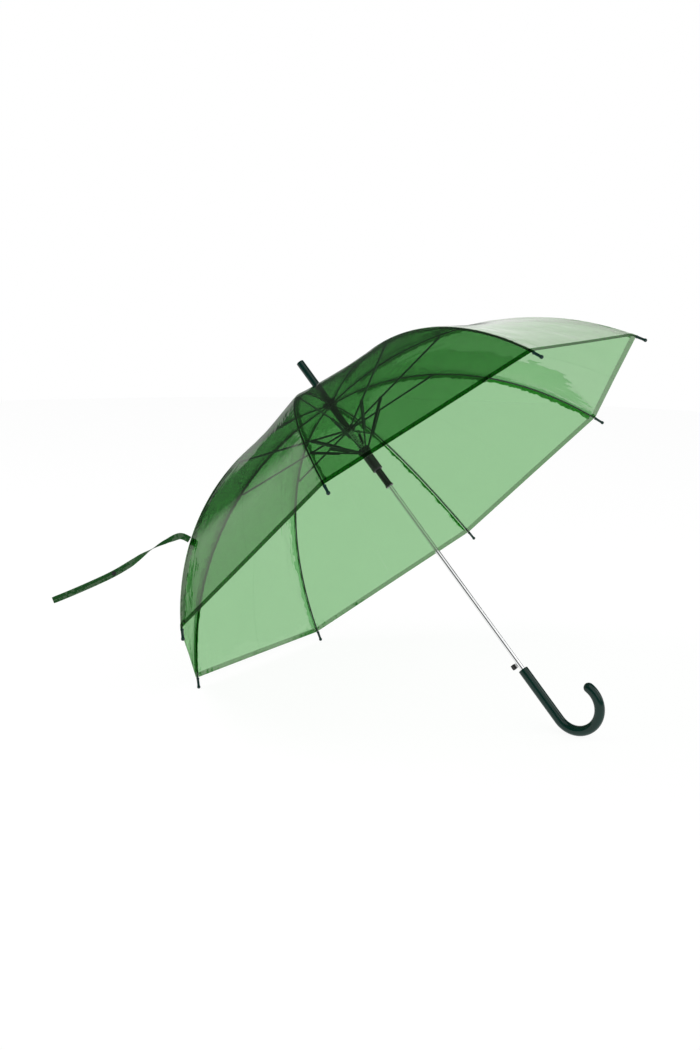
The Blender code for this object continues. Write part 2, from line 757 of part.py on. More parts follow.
def strap_place():
    """The strap's own frame in its rib's plane: X straight out of the film, Z against the strap's fall."""
    along = along_rib(STRAP_PLACE)
    outward, down, side = Vector((-along.y, 0, along.x)), in_plane(along), Vector((0, 1, 0))
    slant = math.radians(STRAP_SLANT)
    fall = down * math.cos(slant) - side * math.sin(slant)
    across = side * math.cos(slant) + down * math.sin(slant)
    place = Matrix((outward, across, -fall)).transposed().to_4x4()
    place.translation = in_plane(on_rib(STRAP_PLACE, FILM_LIFT + FILM_THICKNESS + 4 * GAP))
    return place


def strap_rows(count):
    """Each row's middle point and the direction of the strap's width, in the strap's own frame."""
    point = Vector((0, 0, 0))
    step = STRAP_LENGTH / count
    rows = []
    for index in range(count + 1):
        bend, twist = strap_shape(index * step)
        edge = Vector((-math.sin(bend), 0, -math.cos(bend)))
        rows.append((point.copy(), edge * math.cos(twist) + Vector((0, 1, 0)) * math.sin(twist)))
        point += Vector((math.cos(bend), 0, -math.sin(bend))) * step
    return rows


def strap_mesh():
    """A flat strip of film that stands out from the canopy at its root, drops and turns half over."""
    rows = strap_rows(26)
    bm = bmesh.new()
    bmesh.ops.create_grid(bm, x_segments=1, y_segments=len(rows) - 1, size=1.0)
    for vert in bm.verts:
        point, edge = rows[round((vert.co.y + 1) / 2 * (len(rows) - 1))]
        vert.co = point + edge * (vert.co.x * STRAP_WIDTH / 2)
    mesh = bpy.data.meshes.new("tie_strap")
    bm.to_mesh(mesh)
    bm.free()
    return mesh


def add_strap(material, stud_material):
    """The strap and its press stud, under their rib's plane."""
    root = add_empty("strap_root", bpy.data.objects[f"rib_plane_{STRAP_RIB}"])
    root.matrix_local = strap_place()
    strap = add_object("tie_strap", strap_mesh(), root, material=material)
    skin = strap.modifiers.new("thickness", "SOLIDIFY")
    skin.thickness = STRAP_THICKNESS
    skin.offset = 0.0
    point, _ = strap_rows(100)[round(100 * STUD_PLACE / STRAP_LENGTH)]
    stud = pin_mesh("strap_stud", STUD_RADIUS, STUD_HEIGHT / 2, 16)
    clear = STRAP_THICKNESS / 2 + GAP + STUD_HEIGHT / 2
    add_object("strap_stud", stud, root, point + Vector((0, clear, 0)), material=stud_material)


# Putting it together


def stand_on_floor(umbrella):
    """Moves the umbrella so that its box's lowest face is the floor, centred on the origin."""
    bpy.context.view_layer.update()
    graph = bpy.context.evaluated_depsgraph_get()
    corners = [
        obj.evaluated_get(graph).matrix_world @ Vector(corner)
        for obj in bpy.data.objects
        if obj.type in ("MESH", "CURVE")
        for corner in exact_corners(obj.evaluated_get(graph))
    ]
    low = [min(corner[axis] for corner in corners) for axis in range(3)]
    high = [max(corner[axis] for corner in corners) for axis in range(3)]
    middle = Vector(((low[0] + high[0]) / 2, (low[1] + high[1]) / 2, low[2]))
    umbrella.location = umbrella.location - middle
    bpy.context.view_layer.update()


def exact_corners(evaluated):
    mesh = evaluated.to_mesh()
    points = [vert.co.copy() for vert in mesh.vertices]
    evaluated.to_mesh_clear()
    return points


def build():
    clear_scene()
    lean = math.radians(90) - lean_angle()
    umbrella = add_empty("umbrella", rotation=(0, -lean, 0))
    steel, enamel, leaf = chrome(), black_steel(), spring_steel()
    plastic, green, film = black_plastic(), bottle_green_plastic(), green_film()

    add_object("shaft", shaft_mesh(), umbrella, material=steel)
    add_object("ferrule", ferrule_mesh(), umbrella, material=green)
    add_object("crown_cap", crown_cap_mesh(), umbrella, material=green)
    add_object("top_notch", hub_mesh("top_notch", NOTCH_HEIGHT), umbrella, material=plastic)
    add_object("notch_wire", wire_mesh("notch_wire", NOTCH_HEIGHT), umbrella, material=leaf)
    add_object("upper_runner", upper_runner_mesh(), umbrella, material=plastic)
    add_object("upper_runner_wire", wire_mesh("upper_runner_wire", UPPER_RUNNER_HEIGHT), umbrella, material=leaf)
    add_object("lower_runner", lower_runner_mesh(), umbrella, material=plastic)
    add_object("lower_runner_wire", wire_mesh("lower_runner_wire", LOWER_RUNNER_HEIGHT), umbrella, material=leaf)
    add_object("main_spring", spring_curve(), umbrella, material=leaf)
    add_object("handle", handle_mesh(), umbrella, material=green)
    add_object("catch_spring", catch_mesh(), umbrella, material=leaf)
    add_button("push_button", umbrella, plastic)
    add_arms(umbrella, (glass_fibre(), enamel, green, film))
    add_strap(film, plastic)
    stand_on_floor(umbrella)


build()
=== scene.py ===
"""A see-through green stick umbrella, open, standing on two rib tips and the bend of its hook.

Every piece is modelled upright in the umbrella's own frame: the origin is the centre of the circle
of rib ends, +Z runs up the shaft to the ferrule, and the hook opens towards +X. Each finished mesh
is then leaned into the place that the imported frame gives.
"""

import json
import math

import bmesh
import bpy
from mathutils import Matrix, Vector, noise


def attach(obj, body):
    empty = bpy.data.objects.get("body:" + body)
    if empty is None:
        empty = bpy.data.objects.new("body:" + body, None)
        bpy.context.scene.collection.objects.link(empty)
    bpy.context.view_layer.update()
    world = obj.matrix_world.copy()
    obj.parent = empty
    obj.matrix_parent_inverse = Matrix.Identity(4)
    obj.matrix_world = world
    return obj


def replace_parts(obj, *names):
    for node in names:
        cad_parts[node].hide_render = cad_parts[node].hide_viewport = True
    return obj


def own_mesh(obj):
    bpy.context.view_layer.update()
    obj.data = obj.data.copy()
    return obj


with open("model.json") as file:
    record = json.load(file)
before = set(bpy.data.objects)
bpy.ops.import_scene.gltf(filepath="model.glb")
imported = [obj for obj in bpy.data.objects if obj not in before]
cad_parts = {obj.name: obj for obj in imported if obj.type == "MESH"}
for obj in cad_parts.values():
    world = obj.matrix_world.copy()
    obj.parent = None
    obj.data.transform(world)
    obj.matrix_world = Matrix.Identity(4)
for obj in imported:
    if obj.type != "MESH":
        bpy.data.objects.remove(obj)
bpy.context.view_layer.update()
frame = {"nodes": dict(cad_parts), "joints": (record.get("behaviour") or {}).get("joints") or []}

# Driving dimensions, in metres and degrees.
RIB_COUNT = 8
FIRST_RIB_ANGLE = 22.5
SPAN_RADIUS = 0.500
NOTCH_HEIGHT = 0.262
RIB_BOW = 0.155
STRETCHER_SHARE = 0.375
LOWER_RUNNER_HEIGHT = 0.157
PIVOT_RADIUS = 0.0085
GAP = 0.0003

SHAFT_RADIUS = 0.0040
SHAFT_WALL = 0.0006
SHAFT_TOP = 0.302
SHAFT_BOTTOM = -0.398
BORE_RADIUS = SHAFT_RADIUS + GAP

RIB_RADIUS = 0.0015
BRACKET_DROP = 0.0036
WIRE_RADIUS = 0.00045
FORK_OUTSIDE = 0.0020

HUB_RADIUS = 0.0120
HUB_RISE = 0.0040
HUB_DROP = 0.0045
SLOT_ROOT = 0.0056
SLOT_HALF_WIDTH = 0.0013
GROOVE_ROOT = 0.0075
GROOVE_HALF_HEIGHT = 0.0009

TIP_LENGTH = 0.020
TIP_RADIUS = 0.0032
TIP_BORE_RADIUS = 0.0020
TIP_BORE_DEPTH = 0.0130

FILM_THICKNESS = 0.0003
FILM_GAP = 0.00004
FILM_LIFT = 0.0021
FILM_HOLE_RADIUS = 0.006
FILM_FOLD = 0.0025
FILM_SAG = 0.0035
FILM_RIPPLE = 0.0007
HEM_WIDTH = 0.0085
SEAM_START = 0.0034
SEAM_WIDTH = 0.0065
SEAM_WELD = 0.0026
HEM_WELD = 0.0005
CROWN_CAP_RADIUS = 0.0130
CROWN_CAP_THICKNESS = 0.0016

FERRULE_RADIUS = 0.0070
FERRULE_TOP = 0.361

SPRING_WIRE_RADIUS = 0.0006
SPRING_COIL_RADIUS = 0.0054
SPRING_TURNS = 8

GRIP_TOP = -0.318
GRIP_RADIUS = 0.00875
HOOK_START = -0.422
HOOK_RADIUS = 0.042
HOOK_TURN = 197.0
GRIP_BORE_BOTTOM = -0.400

BUTTON_HEIGHT = -0.306
CATCH_WIDTH = 0.0024

STRAP_WIDTH = 0.0105
STRAP_THICKNESS = 0.0008
STRAP_LENGTH = 0.245
STRAP_RIB = 6
STRAP_PLACE = 0.69
STRAP_SLANT = 31.0
# Distance along the strap, its bend down from straight out of the film, and its twist.
STRAP_SHAPE = [
    (0.000, -10, 0),
    (0.008, -4, 0),
    (0.022, 42, 15),
    (0.040, 46, 55),
    (0.068, 52, 95),
    (0.094, 57, 140),
    (0.116, 52, 180),
    (0.160, 45, 180),
    (0.245, 42, 180),
]
STUD_PLACE = 0.139
STUD_RADIUS = 0.0036
STUD_HEIGHT = 0.0016

# How much light one face of film passes, in red, green and blue.
CLEAR_FACE = (0.455, 0.700, 0.455)
DENSE_FACE = (0.250, 0.500, 0.270)

# Where the camera stands, where it looks and how it is tilted.
CAMERA_PLACE = Vector((1.3346, -2.1667, 0.8690))
CAMERA_FORWARD = Vector((-0.5456, 0.8111, -0.2108))
CAMERA_TILT = 1.09
CAMERA_LENS = 51.69


# Geometry that the sizes above decide.


def rib_arc():
    """Centre, radius, start angle and swept angle of the rib's bow, in its own upright plane."""
    start = Vector((PIVOT_RADIUS, NOTCH_HEIGHT))
    end = Vector((SPAN_RADIUS, 0.0))
    chord = end - start
    bow = RIB_BOW * chord.length
    radius = (chord.length_squared / 4 + bow * bow) / (2 * bow)
    outward = Vector((-chord.y, chord.x)).normalized()
    centre = (start + end) / 2 - outward * (radius - bow)
    first = math.atan2(start.y - centre.y, start.x - centre.x)
    return centre, radius, first, 2 * math.asin(chord.length / 2 / radius)


ARC_CENTRE, ARC_RADIUS, ARC_START, ARC_SWEPT = rib_arc()
RIB_LENGTH = ARC_RADIUS * ARC_SWEPT
TIP_SHARE = 1 - TIP_LENGTH / RIB_LENGTH
RIB_END_SHARE = TIP_SHARE + 0.8 * TIP_BORE_DEPTH / RIB_LENGTH


def on_rib(share, lift=0.0):
    """The point this share of the way down the rib, lifted outwards, as (distance from shaft, height)."""
    angle = ARC_START - share * ARC_SWEPT
    return ARC_CENTRE + (ARC_RADIUS + lift) * Vector((math.cos(angle), math.sin(angle)))


def along_rib(share):
    """The rib's direction there, away from the notch."""
    angle = ARC_START - share * ARC_SWEPT
    return Vector((math.sin(angle), -math.cos(angle)))


def in_plane(point):
    return Vector((point.x, 0.0, point.y))


BRACKET_PIVOT = on_rib(STRETCHER_SHARE, -BRACKET_DROP)
UPPER_RUNNER_HEIGHT = 2 * BRACKET_PIVOT.y - NOTCH_HEIGHT
FILM_CROWN = NOTCH_HEIGHT + HUB_RISE + GAP
CAP_BASE = FILM_CROWN + FILM_THICKNESS + GAP
FERRULE_BASE = CAP_BASE + CROWN_CAP_THICKNESS + GAP
HALF_STEP = math.pi / RIB_COUNT
JOINTS = {joint["name"]: joint for joint in frame["joints"]}
LABELS = range(1, RIB_COUNT + 1)


def umbrella_place():
    """The matrix that leans the upright umbrella into the frame."""
    up = Vector(JOINTS["lower_runner_slide"]["axis"])
    pivots = [Vector(JOINTS[f"rib_{label}_at_notch"]["pos_m"]) for label in LABELS]
    notch = sum(pivots, Vector()) / RIB_COUNT
    lean = Matrix.Rotation(math.atan2(up.x, up.z), 4, "Y")
    return Matrix.Translation(notch - up * NOTCH_HEIGHT) @ lean


PLACE = umbrella_place()


def rib_turn(label):
    """The turn about the shaft that takes +X to this rib."""
    return Matrix.Rotation(math.radians(FIRST_RIB_ANGLE + (label - 1) * 360 / RIB_COUNT), 4, "Z")


def rib_place(label):
    """The frame's matrix for one rib's upright plane, with the rib along +X."""
    return PLACE @ rib_turn(label)


# Mesh tools


def finish_mesh(bm, name, sharp=35):
    bmesh.ops.remove_doubles(bm, verts=bm.verts[:], dist=1e-6)
    bmesh.ops.recalc_face_normals(bm, faces=bm.faces[:])
    mesh = bpy.data.meshes.new(name)
    bm.to_mesh(mesh)
    bm.free()
    mesh.shade_smooth()
    mesh.set_sharp_from_angle(angle=math.radians(sharp))
    return mesh


def add_piece(name, mesh, material, body, place=PLACE):
    """An object whose mesh is moved to its place, riding on its body."""
    mesh.transform(place)
    mesh.materials.clear()
    mesh.materials.append(material)
    piece = bpy.data.objects.new(name, mesh)
    bpy.context.scene.collection.objects.link(piece)
    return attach(piece, body)


def apply_modifiers(piece):
    """Bakes a piece's modifiers into its mesh."""
    bpy.context.view_layer.update()
    graph = bpy.context.evaluated_depsgraph_get()
    mesh = bpy.data.meshes.new_from_object(piece.evaluated_get(graph))
    piece.modifiers.clear()
    piece.data = mesh
    return piece


def lathe_mesh(name, profile, sides, closed=True):
    """The profile, a list of (radius, height), turned about Z. An open one starts and ends on the axis."""
    bm = bmesh.new()
    verts = [bm.verts.new((radius, 0.0, height)) for radius, height in profile]
    pairs = list(zip(verts, verts[1:]))
    if closed:
        pairs.append((verts[-1], verts[0]))
    edges = [bm.edges.new(pair) for pair in pairs]
    bmesh.ops.spin(
        bm, geom=verts + edges, cent=(0, 0, 0), axis=(0, 0, 1), angle=math.tau, steps=sides, use_merge=True
    )
    return finish_mesh(bm, name)


def fillet(centre, radius, start, end, steps=5):
    """Points of an arc for a lathe profile, angles in degrees from straight out."""
    points = []
    for step in range(steps + 1):
        angle = math.radians(start + (end - start) * step / steps)
        points.append((centre[0] + radius * math.cos(angle), centre[1] + radius * math.sin(angle)))
    return points


def sweep_mesh(name, path, radii, sides):
    """A round bar along a path in the XZ plane, with a radius for each point and closed ends."""
    bm = bmesh.new()
    rings = []
    for index, point in enumerate(path):
        before = path[max(index - 1, 0)]
        after = path[min(index + 1, len(path) - 1)]
        along = (after - before).normalized()
        across = Vector((0, 1, 0)).cross(along)
        turn = Matrix((across, Vector((0, 1, 0)), along)).transposed().to_4x4()
        place = Matrix.Translation(point) @ turn
        made = bmesh.ops.create_circle(bm, radius=radii[index], segments=sides, matrix=place)
        loop = {edge for vert in made["verts"] for edge in vert.link_edges}
        rings.append((made["verts"], list(loop)))
    for (_, one), (_, other) in zip(rings, rings[1:]):
        bmesh.ops.bridge_loops(bm, edges=one + other)
    for verts, _ in (rings[0], rings[-1]):
        bmesh.ops.contextual_create(bm, geom=verts)
    return finish_mesh(bm, name)


def add_box(bm, low, high):
    low, high = Vector(low), Vector(high)
    place = Matrix.Translation((low + high) / 2) @ Matrix.Diagonal((*(high - low), 1.0))
    return bmesh.ops.create_cube(bm, size=1.0, matrix=place)["verts"]


def carve(mesh, cutter):
    """The mesh less the cutter."""
    blank = bpy.data.objects.new("blank", mesh)
    tool = bpy.data.objects.new("cutter", cutter)
    for obj in (blank, tool):
        bpy.context.scene.collection.objects.link(obj)
    cut = blank.modifiers.new("cut", "BOOLEAN")
    cut.operation = "DIFFERENCE"
    cut.object = tool
    carved = apply_modifiers(blank).data
    for obj in (blank, tool):
        bpy.data.objects.remove(obj)
    carved.shade_smooth()
    carved.set_sharp_from_angle(angle=math.radians(35))
    return carved


# Shader tools


class Number:
    """A number that varies over a surface. Arithmetic on it adds the Math nodes that work it out."""

    def __init__(self, shop, socket):
        self.shop = shop
        self.socket = socket

    def __add__(self, other):
        return self.shop.math("ADD", self, other)

    __radd__ = __add__

    def __sub__(self, other):
        return self.shop.math("SUBTRACT", self, other)

    def __rsub__(self, other):
        return self.shop.math("SUBTRACT", other, self)

    def __mul__(self, other):
        return self.shop.math("MULTIPLY", self, other)

    __rmul__ = __mul__

    def __truediv__(self, other):
        return self.shop.math("DIVIDE", self, other)

    def __pow__(self, other):
        return self.shop.math("POWER", self, other)

    def __abs__(self):
        return self.shop.math("ABSOLUTE", self)

    def __lt__(self, other):
        return self.shop.math("LESS_THAN", self, other)


class PaintShop:
    """The nodes of one material or world."""

    def __init__(self, owner):
        owner.use_nodes = True
        self.owner = owner
        self.tree = owner.node_tree
        self.tree.nodes.clear()

    def node(self, kind, settings=None, inputs=None):
        """A node of that type, with its settings, then the values or links of its sockets."""
        made = self.tree.nodes.new(kind)
        for key, value in (settings or {}).items():
            setattr(made, key, value)
        for key, value in (inputs or {}).items():
            self.feed(made.inputs[key], value)
        return made

    def feed(self, socket, value):
        if isinstance(value, Number):
            value = value.socket
        if isinstance(value, bpy.types.NodeSocket):
            self.tree.links.new(value, socket)
        elif isinstance(value, tuple) and len(value) == 3 and socket.type == "RGBA":
            socket.default_value = (*value, 1.0)
        else:
            socket.default_value = value

    def math(self, operation, *values, clamp=False):
        settings = {"operation": operation, "use_clamp": clamp}
        return Number(self, self.node("ShaderNodeMath", settings, dict(enumerate(values))).outputs[0])

    def clamped(self, value):
        return self.math("ADD", value, 0.0, clamp=True)

    def mix_colour(self, share, first, second):
        made = self.node("ShaderNodeMix", {"data_type": "RGBA"}, {0: share, 6: first, 7: second})
        return made.outputs[2]

    def mix_shader(self, share, first, second):
        return self.node("ShaderNodeMixShader", None, {0: share, 1: first, 2: second}).outputs[0]

    def upright(self, stretch=(1, 1, 1)):
        """Coordinates in the umbrella's own frame, in metres, stretched along each axis."""
        where = self.node("ShaderNodeTexCoord").outputs["Object"]
        back = PLACE.inverted()
        settings = {"vector_type": "POINT"}
        inputs = {"Vector": where, "Location": tuple(back.translation), "Rotation": tuple(back.to_euler())}
        turned = self.node("ShaderNodeMapping", settings, inputs).outputs[0]
        return self.node("ShaderNodeMapping", settings, {"Vector": turned, "Scale": stretch}).outputs[0]

    def noise(self, vector, scale, detail=2.0, roughness=0.5):
        inputs = {"Vector": vector, "Scale": scale, "Detail": detail, "Roughness": roughness}
        return Number(self, self.node("ShaderNodeTexNoise", None, inputs).outputs[0])

    def bump(self, height, distance, strength=1.0):
        inputs = {"Height": height, "Distance": distance, "Strength": strength}
        return self.node("ShaderNodeBump", None, inputs).outputs[0]

    def principled(self, **inputs):
        named = {key.replace("_", " "): value for key, value in inputs.items()}
        return self.node("ShaderNodeBsdfPrincipled", None, named).outputs[0]

    def surface(self, shader):
        of_world = isinstance(self.owner, bpy.types.World)
        kind = "ShaderNodeOutputWorld" if of_world else "ShaderNodeOutputMaterial"
        self.node(kind, None, {"Surface": shader})
        return self.owner


def new_shop(name):
    return PaintShop(bpy.data.materials.new(name))


# Materials


def chrome_paint():
    """Bright plated tube with fine drawn lines along it and a few dull spots."""
    shop = new_shop("polished_chrome")
    lines = shop.noise(shop.upright((1, 1, 0.004)), 700, 3.0)
    spots = shop.noise(shop.upright(), 90, 4.0)
    rough = shop.clamped(0.03 + 0.05 * lines + 0.10 * (spots - 0.5))
    tone = shop.mix_colour(spots, (0.78, 0.79, 0.81), (0.90, 0.90, 0.89))
    return shop.surface(shop.principled(Base_Color=tone, Metallic=1.0, Roughness=rough))


def bottle_green_paint():
    """Glossy moulded plastic, dark bottle green, with faint flow marks and fine scratches."""
    shop = new_shop("bottle_green_plastic")
    flow = shop.noise(shop.upright((1, 1, 0.35)), 55, 3.0)
    grain = shop.noise(shop.upright(), 900, 4.0, 0.6)
    scratches = shop.noise(shop.upright((1, 0.08, 1)), 700, 2.0)
    tone = shop.mix_colour(flow, (0.0025, 0.024, 0.018), (0.0055, 0.040, 0.031))
    rough = shop.clamped(0.12 + 0.10 * flow + 0.10 * (scratches - 0.45))
    normal = shop.bump(grain + 0.6 * flow, 0.00005, 0.30)
    shader = shop.principled(
        Base_Color=tone, Roughness=rough, Normal=normal, Coat_Weight=0.05, Coat_Roughness=0.08, IOR=1.36
    )
    return shop.surface(shader)


def black_plastic_paint():
    """Moulded black plastic, a little worn and slightly glossy."""
    shop = new_shop("black_plastic")
    cloud = shop.noise(shop.upright(), 160, 3.0)
    grain = shop.noise(shop.upright(), 2200, 3.0, 0.6)
    tone = shop.mix_colour(cloud, (0.006, 0.007, 0.007), (0.020, 0.021, 0.021))
    rough = shop.clamped(0.22 + 0.22 * cloud)
    normal = shop.bump(grain, 0.00004, 0.35)
    return shop.surface(shop.principled(Base_Color=tone, Roughness=rough, Normal=normal, IOR=1.49))


def rod_paint():
    """Pultruded glass-fibre rod in black resin: long fine fibres under a satin skin."""
    shop = new_shop("black_glass_fibre")
    fibres = shop.noise(shop.upright(), 1500, 5.0, 0.7)
    cloud = shop.noise(shop.upright(), 40, 2.0)
    tone = shop.mix_colour(fibres, (0.006, 0.010, 0.009), (0.022, 0.030, 0.027))
    rough = shop.clamped(0.26 + 0.18 * cloud)
    normal = shop.bump(fibres, 0.00003, 0.4)
    return shop.surface(shop.principled(Base_Color=tone, Roughness=rough, Normal=normal, IOR=1.52))


def enamel_paint():
    """Dark satin enamel on pressed steel, rubbed through to bright metal in small spots."""
    shop = new_shop("black_enamelled_steel")
    rubs = shop.noise(shop.upright(), 420, 5.0, 0.65)
    cloud = shop.noise(shop.upright(), 60, 2.0)
    worn = shop.clamped((rubs - 0.66) * 9.0)
    coat = shop.mix_colour(cloud, (0.012, 0.026, 0.024), (0.030, 0.052, 0.048))
    tone = shop.mix_colour(worn, coat, (0.36, 0.37, 0.37))
    rough = shop.clamped(0.30 + 0.15 * cloud)
    normal = shop.bump(1 - worn, 0.00004, 0.4)
    shader = shop.principled(Base_Color=tone, Metallic=0.25 + 0.7 * worn, Roughness=rough, Normal=normal)
    return shop.surface(shader)


def spring_paint():
    """Drawn spring wire: bright steel with die lines and a touch of oil."""
    shop = new_shop("spring_steel")
    lines = shop.noise(shop.upright(), 1800, 4.0, 0.6)
    stain = shop.noise(shop.upright(), 130, 2.0)
    tone = shop.mix_colour(stain, (0.34, 0.34, 0.35), (0.58, 0.58, 0.57))
    rough = shop.clamped(0.18 + 0.25 * lines)
    normal = shop.bump(lines, 0.00003, 0.4)
    return shop.surface(shop.principled(Base_Color=tone, Metallic=1.0, Roughness=rough, Normal=normal))


def film_paint(name, clear, dense, density=0.0, shine=1.0):
    """Tinted see-through film, mirror-smooth but rippled, deeper in colour along its welds and edge-on.

    The film's UV map holds the distance from the seam and the distance from the crown, in metres.
    """
    shop = new_shop(name)
    where = shop.node("ShaderNodeUVMap", {"uv_map": "film"}).outputs[0]
    parts = shop.node("ShaderNodeSeparateXYZ", None, {0: where})
    from_seam = abs(Number(shop, parts.outputs[0]))
    from_crown = Number(shop, parts.outputs[1])
    to_hem = RIB_LENGTH * TIP_SHARE - from_crown

    def stretched(across, along, scale, detail=2.0):
        settings = {"Vector": where, "Scale": (across, along, 1.0)}
        vector = shop.node("ShaderNodeMapping", None, settings).outputs[0]
        return shop.noise(vector, scale, detail)

    near_seam = shop.clamped(1 - from_seam / 0.030)
    near_hem = shop.clamped(1 - to_hem / 0.045)
    off_middle = shop.clamped(1 - from_seam / 0.085)
    puckers = stretched(0.25, 1.0, 95) * near_seam**2 * 1.6
    gathers = stretched(1.0, 0.22, 80) * near_hem**2 * off_middle * 1.1
    drawn = stretched(1.0, 0.16, 55, 2.5) * off_middle * 1.9
    creases = shop.noise(shop.upright(), 9, 3.0) * 1.6
    normal = shop.bump(puckers + gathers + drawn + creases, 0.0014, 0.85)

    slant = shop.node("ShaderNodeLayerWeight", None, {"Blend": 0.5, "Normal": normal}).outputs["Facing"]
    facing = Number(shop, slant)
    weld = (from_seam < SEAM_WELD) + 0.6 * (abs(to_hem - HEM_WIDTH - 0.0006) < HEM_WELD)
    cloud = shop.noise(shop.upright(), 14, 3.0)
    depth = shop.clamped(density + 0.30 * weld + 0.10 * (cloud - 0.5) + 0.35 * facing**3)
    passed = shop.mix_shader(
        depth,
        shop.node("ShaderNodeBsdfTransparent", None, {"Color": clear}).outputs[0],
        shop.node("ShaderNodeBsdfTransparent", None, {"Color": dense}).outputs[0],
    )
    rough = 0.035 + 0.03 * cloud
    gloss = shop.principled(Base_Color=(0.97, 0.97, 0.90), Metallic=1.0, Roughness=rough, Normal=normal)
    mirrored = shop.clamped(shine * (0.145 + 0.65 * facing**5))
    return shop.surface(shop.mix_shader(mirrored, passed, gloss))


def floor_paint():
    """Pale studio floor, almost white, that still takes a faint shadow."""
    shop = new_shop("studio_floor")
    glow = shop.node("ShaderNodeEmission", None, {"Color": (1.0, 1.0, 1.0), "Strength": 1.10}).outputs[0]
    matt = shop.node("ShaderNodeBsdfDiffuse", None, {"Color": (0.94, 0.94, 0.94)}).outputs[0]
    return shop.surface(shop.mix_shader(0.16, glow, matt))


CHROME = chrome_paint()
GREEN = bottle_green_paint()
BLACK = black_plastic_paint()
ROD = rod_paint()
ENAMEL = enamel_paint()
SPRING = spring_paint()
FILM = film_paint("green_film", CLEAR_FACE, DENSE_FACE)
HEM_FILM = film_paint("green_hem_film", (0.330, 0.650, 0.300), (0.150, 0.470, 0.140), 0.5, shine=0.25)
STRAP_FILM = film_paint("green_strap_film", (0.135, 0.285, 0.145), (0.060, 0.160, 0.070), shine=0.3)


# The film canopy


def ridge_points():
    """Points of the film over a rib, from the crown to the hem, each with its distance down the rib."""
    crown = [(Vector((FILM_HOLE_RADIUS, FILM_CROWN)), 0.0), (Vector((CROWN_CAP_RADIUS, FILM_CROWN)), 0.007)]
    first = 0.035
    last = TIP_SHARE - GAP / RIB_LENGTH
    rows = 110
    shares = [first + (last - first) * step / rows for step in range(rows + 1)]
    return crown + [(on_rib(share, FILM_LIFT), share * RIB_LENGTH) for share in shares]


def film_point(row_point, distance, across, lift=0.0):
    """The film's place in its rib's plane, at this share across from the ridge to the middle of the panel."""
    half_panel = row_point.x * math.sin(HALF_STEP) - FILM_GAP
    side = across * half_panel
    reach = abs(side)
    bent, widest = (math.hypot(length, FILM_FOLD) - FILM_FOLD for length in (reach, half_panel))
    folded = half_panel * bent / widest
    share = distance / (RIB_LENGTH * TIP_SHARE)
    sag = FILM_SAG * math.sin(math.pi * min(max(share, 0.0), 1.0)) * (1 - (1 - abs(across)) ** 2)
    angle = ARC_START - share * TIP_SHARE * ARC_SWEPT
    turn = across * HALF_STEP
    outward = Vector((math.cos(angle) * math.cos(turn), math.cos(angle) * math.sin(turn), math.sin(angle)))
    point = Vector((row_point.x - folded * math.sin(HALF_STEP), side * math.cos(HALF_STEP), row_point.y))
    return point + outward * (lift - sag)


def ripple(point, distance, reach):
    """How far a petal stands proud there: shallow waves that gather towards the seams and the hem."""
    share = distance / (RIB_LENGTH * TIP_SHARE)
    fade = min(1.0, max(0.0, (share - 0.05) * 6)) * min(1.0, (1.0 - share) * 18)
    broad = noise.noise(point * 9)
    fine = noise.noise(point * 26 + Vector((0, 0, 40)))
    near_seam = math.exp(-reach / 0.03)
    free = min(1.0, reach / 0.010)
    return FILM_RIPPLE * fade * free * (1.4 * broad + fine * (0.4 + near_seam))


def smooth_columns(count):
    """Shares across a petal, from -1 to 1, closer together at the ridge."""
    shares = []
    for step in range(-count, count + 1):
        share = step / count
        shares.append(math.copysign(abs(share) ** 1.6, share))
    return shares


def grid_mesh(name, columns, rows, place):
    """A grid of columns by rows whose corners go where place(column, row) says, as (point, (u, v))."""
    bm = bmesh.new()
    layer = bm.loops.layers.uv.new("film")
    bmesh.ops.create_grid(bm, x_segments=columns - 1, y_segments=rows - 1, size=1.0)
    placed = {}
    for vert in bm.verts:
        column = round((vert.co.x + 1) / 2 * (columns - 1))
        row = round((vert.co.y + 1) / 2 * (rows - 1))
        vert.co, placed[vert] = place(column, row)
    for face in bm.faces:
        for loop in face.loops:
            loop[layer].uv = placed[loop.vert]
    mesh = bpy.data.meshes.new(name)
    bm.to_mesh(mesh)
    bm.free()
    mesh.shade_smooth()
    return mesh


def add_sheet(name, mesh, material, label, thickness, offset):
    """A thin closed sheet of film that rides on a rib."""
    piece = add_piece(name, mesh, material, f"rib_{label}", rib_place(label))
    skin = piece.modifiers.new("thickness", "SOLIDIFY")
    skin.thickness = thickness
    skin.offset = offset
    apply_modifiers(piece).data.set_sharp_from_angle(angle=math.radians(35))
    return piece


def fold_with_rib(piece):
    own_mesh(piece)


RIDGE = ridge_points()
COLUMNS = smooth_columns(15)


def petal_mesh(label):
    """The film over one rib, out to the middle of the panel on each side."""

    def place(column, row):
        point, distance = RIDGE[row]
        across = COLUMNS[column]
        reach = abs(across) * point.x * math.sin(HALF_STEP)
        upright = rib_turn(label) @ film_point(point, distance, across)
        lift = ripple(upright, distance, reach)
        return film_point(point, distance, across, lift), (math.copysign(reach, across), distance)

    return grid_mesh("canopy_film", len(COLUMNS), len(RIDGE), place)


def hem_mesh():
    """The welded fold along the hem, lying on the film."""
    last_distance = RIDGE[-1][1]
    rows = 4

    def place(column, row):
        distance = last_distance - HEM_WIDTH * (1 - row / (rows - 1))
        point = on_rib(distance / RIB_LENGTH, FILM_LIFT)
        across = COLUMNS[column]
        reach = across * point.x * math.sin(HALF_STEP)
        return film_point(point, distance, across, FILM_THICKNESS + 0.0001), (reach, distance)

    return grid_mesh("canopy_hem", len(COLUMNS), rows, place)


